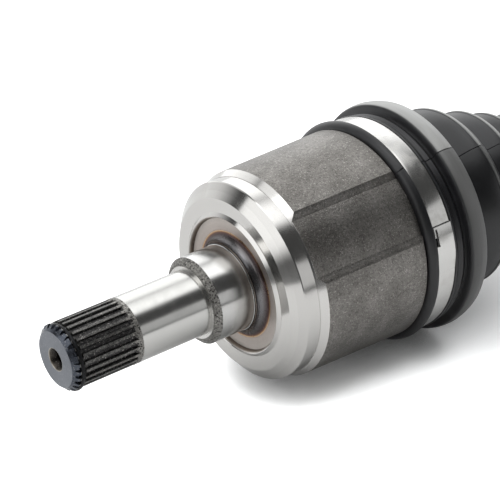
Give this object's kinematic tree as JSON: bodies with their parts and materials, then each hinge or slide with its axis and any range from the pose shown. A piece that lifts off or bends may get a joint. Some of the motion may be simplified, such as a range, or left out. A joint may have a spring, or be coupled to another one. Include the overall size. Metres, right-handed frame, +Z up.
{
  "type": "drive shaft",
  "caption": "Front half shaft: splined stub and tripod plunging joint, black bellows boots, solid bar, ball-type outer joint with splined, threaded stub.",
  "frame": {"origin": "on the shaft axis at the shoulder between the ground journal and the seal journal of the inboard stub", "axes": "+X along the shaft to the outboard end, +Z up as the shaft lies in the picture"},
  "size_m": [0.6486, 0.0968, 0.0968],
  "materials": {
    "forged_steel": "fine blasted forging with turned bright lands",
    "spring_steel": "dark spring steel",
    "boot_rubber": "satin black moulded rubber",
    "clamp_steel": "bright stainless band",
    "bearing_steel": "ground hardened steel",
    "black_bar_steel": "black corrosion paint"
  },
  "bodies": {
    "housing": {"inner_housing": "forged_steel", "inboard_circlip": "spring_steel", "inner_boot": "boot_rubber", "inner_boot_large_clamp": "clamp_steel", "housing_stop_ring": "spring_steel"},
    "ring_1": {"roller_ring_1": "bearing_steel", "needle_set_1": "bearing_steel"},
    "ring_2": {"roller_ring_2": "bearing_steel", "needle_set_2": "bearing_steel"},
    "ring_3": {"roller_ring_3": "bearing_steel", "needle_set_3": "bearing_steel"},
    "roller_1": {"roller_1": "bearing_steel"},
    "roller_2": {"roller_2": "bearing_steel"},
    "roller_3": {"roller_3": "bearing_steel"},
    "shaft": {"shaft_bar": "black_bar_steel", "tripod_spider": "forged_steel", "spider_circlip": "spring_steel", "inner_boot_small_clamp": "clamp_steel", "outer_boot_small_clamp": "clamp_steel", "inner_race": "bearing_steel", "inner_race_circlip": "spring_steel", "outer_boot": "boot_rubber"},
    "cage": {"ball_cage": "bearing_steel", "ball_1": "bearing_steel", "ball_2": "bearing_steel", "ball_3": "bearing_steel", "ball_4": "bearing_steel", "ball_5": "bearing_steel", "ball_6": "bearing_steel"},
    "bell": {"outer_housing": "forged_steel", "outer_boot_large_clamp": "clamp_steel"}
  },
  "joints": [
    {"name": "plunge", "type": "slide", "parent": "housing", "child": "ring_1", "axis": [1, 0, 0], "range_m": [-0.009, 0.009], "deforming": ["inner_boot"]},
    {"name": "inner_tilt", "type": "hinge", "parent": "ring_1", "child": "shaft", "pos_m": [0.0605, 0, 0], "axis": [0, 0.2011, 0.9796], "range_deg": [-18, 18]},
    {"name": "ring_2_shift", "type": "slide", "parent": "ring_1", "child": "ring_2", "axis": [1, 0, 0], "range_m": [-0.0066, 0.0066]},
    {"name": "ring_3_shift", "type": "slide", "parent": "ring_1", "child": "ring_3", "axis": [1, 0, 0], "range_m": [-0.0066, 0.0066]},
    {"name": "roller_1_spin", "type": "hinge", "parent": "ring_1", "child": "roller_1", "pos_m": [0.0605, 0, 0], "axis": [0, 0.2011, 0.9796], "continuous": true},
    {"name": "roller_2_spin", "type": "hinge", "parent": "ring_2", "child": "roller_2", "pos_m": [0.0605, 0, 0], "axis": [0, -0.9489, -0.3156], "continuous": true},
    {"name": "roller_3_spin", "type": "hinge", "parent": "ring_3", "child": "roller_3", "pos_m": [0.0605, 0, 0], "axis": [0, 0.7478, -0.6639], "continuous": true},
    {"name": "outer_tilt", "type": "hinge", "parent": "shaft", "child": "bell", "pos_m": [0.48, 0, 0], "axis": [0, 0, 1], "range_deg": [-42, 42], "deforming": ["outer_boot"]},
    {"name": "cage_tilt", "type": "hinge", "parent": "shaft", "child": "cage", "pos_m": [0.48, 0, 0], "axis": [0, 0, 1], "range_deg": [-21.2, 21.2]}
  ],
  "couplings": [
    {"joint": "ring_2_shift", "follows": "inner_tilt", "m_per_rad": 0.0205},
    {"joint": "ring_3_shift", "follows": "inner_tilt", "m_per_rad": -0.0205},
    {"joint": "cage_tilt", "follows": "outer_tilt", "ratio": 0.5}
  ]
}
